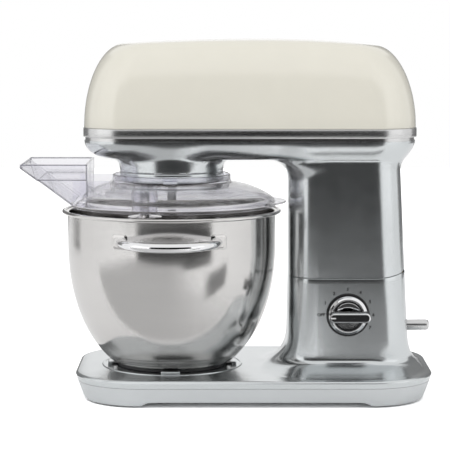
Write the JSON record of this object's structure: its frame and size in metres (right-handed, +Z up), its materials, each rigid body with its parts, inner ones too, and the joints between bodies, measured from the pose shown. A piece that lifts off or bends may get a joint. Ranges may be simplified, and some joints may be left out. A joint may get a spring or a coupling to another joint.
{
  "type": "stand mixer",
  "caption": "Tilt-head stand mixer with a steel bowl, splash guard with pouring chute, dough hook, speed dial and release rod.",
  "frame": {"origin": "on the table, below the middle of the bounding box", "axes": "+Z up, +X from the bowl to the column, Y across; the speed dial faces -Y"},
  "size_m": [0.426, 0.2974, 0.3718],
  "materials": {
    "cast_silver": "satin silver paint over the casting",
    "tray_silver": "satin silver",
    "trim_steel": "satin",
    "cover_cream": "gloss",
    "rubber": "matte",
    "screw_steel": "turned",
    "cast_iron": "cast",
    "brass": "turned",
    "pressed_steel": "pressed",
    "black_gloss": "gloss",
    "black_plastic": "matte",
    "board_green": "satin",
    "chrome": "polished",
    "copper": "wound",
    "carbon": "matte",
    "gear_steel": "cut",
    "clear_plastic": "clear",
    "bowl_steel": "polished"
  },
  "bodies": {
    "stand": {"base_tray": "tray_silver", "rubber_feet": "rubber", "base_screws": "screw_steel", "stand_housing": "cast_silver", "bowl_seat": "cast_silver", "hinge_bracket": "cast_iron", "hinge_pin": "screw_steel", "hinge_bushes": "brass", "latch_pivot_pin": "screw_steel", "latch_spring": "screw_steel", "dial_bezel": "black_gloss", "speed_switch": "black_plastic", "control_board": "board_green", "safety_switch": "black_plastic", "cord_gland": "rubber"},
    "latch": {"latch_lever": "pressed_steel", "release_rod": "trim_steel"},
    "knob": {"knob_disc": "black_gloss", "knob_ring": "chrome", "knob_grip": "black_gloss"},
    "head": {"arm_housing": "cast_silver", "head_cover": "cover_cream", "head_trim": "trim_steel", "hinge_knuckle": "cast_iron", "latch_striker": "pressed_steel", "motor_stator": "pressed_steel", "field_coils": "copper", "motor_brackets": "cast_iron", "motor_bearings": "screw_steel", "brush_holders": "black_plastic", "carbon_brushes": "carbon", "drive_belt": "rubber", "gear_plate": "pressed_steel", "gearbox_bearings": "screw_steel", "ring_gear": "gear_steel"},
    "rotor": {"motor_shaft": "screw_steel", "armature": "copper", "commutator": "copper", "cooling_fan": "black_plastic", "motor_pulley": "screw_steel"},
    "pulley": {"large_pulley": "black_plastic"},
    "countershaft": {"layshaft": "screw_steel", "layshaft_gears": "gear_steel"},
    "hub": {"planet_carrier": "black_gloss", "main_shaft": "screw_steel", "main_gear": "gear_steel", "hub_bolt": "screw_steel", "planet_bearings": "brass"},
    "tool": {"planet_pinion": "gear_steel", "output_shaft": "screw_steel", "output_shroud": "clear_plastic", "dough_hook": "bowl_steel", "hook_guard": "bowl_steel"},
    "guard": {"splash_guard": "clear_plastic", "feed_spout": "clear_plastic"},
    "bowl_unit": {"bowl": "bowl_steel", "bowl_handles": "chrome", "bowl_foot_ring": "black_plastic"}
  },
  "joints": [
    {"name": "head_tilt", "type": "hinge", "parent": "stand", "child": "head", "pos_m": [0.18, 0, 0.13], "axis": [0, 1, 0], "range_deg": [0, 35]},
    {"name": "latch_release", "type": "hinge", "parent": "stand", "child": "latch", "pos_m": [0.127, 0, 0.07], "axis": [0, 1, 0], "range_deg": [0, 8], "stiffness_Nm_per_rad": 1.2, "springref_deg": -20.05, "deforming": ["latch_spring"]},
    {"name": "knob_turn", "type": "hinge", "parent": "stand", "child": "knob", "pos_m": [0.124, -0.0487, 0.088], "axis": [0, 1, 0], "range_deg": [0, 210]},
    {"name": "bowl_lock", "type": "hinge", "parent": "stand", "child": "bowl_unit", "pos_m": [-0.059, 0, 0.03], "axis": [0, 0, 1], "range_deg": [0, 25]},
    {"name": "hub_spin", "type": "hinge", "parent": "head", "child": "hub", "pos_m": [-0.059, 0, 0.228], "axis": [0, 0, 1], "continuous": true},
    {"name": "tool_spin", "type": "hinge", "parent": "hub", "child": "tool", "pos_m": [-0.0875, 0, 0.228], "axis": [0, 0, 1], "continuous": true},
    {"name": "countershaft_spin", "type": "hinge", "parent": "head", "child": "countershaft", "pos_m": [-0.019, 0, 0.262], "axis": [0, 0, 1], "continuous": true},
    {"name": "pulley_spin", "type": "hinge", "parent": "head", "child": "pulley", "pos_m": [-0.059, 0, 0.28], "axis": [0, 0, 1], "continuous": true},
    {"name": "rotor_spin", "type": "hinge", "parent": "head", "child": "rotor", "pos_m": [0.125, 0, 0.19], "axis": [0, 0, 1], "continuous": true},
    {"name": "guard_twist", "type": "hinge", "parent": "head", "child": "guard", "pos_m": [-0.059, 0, 0.226], "axis": [0, 0, 1], "range_deg": [0, 24]}
  ],
  "couplings": [
    {"joint": "tool_spin", "follows": "hub_spin", "ratio": -2.9},
    {"joint": "countershaft_spin", "follows": "hub_spin", "ratio": -3},
    {"joint": "pulley_spin", "follows": "hub_spin", "ratio": 9},
    {"joint": "rotor_spin", "follows": "hub_spin", "ratio": 36}
  ]
}
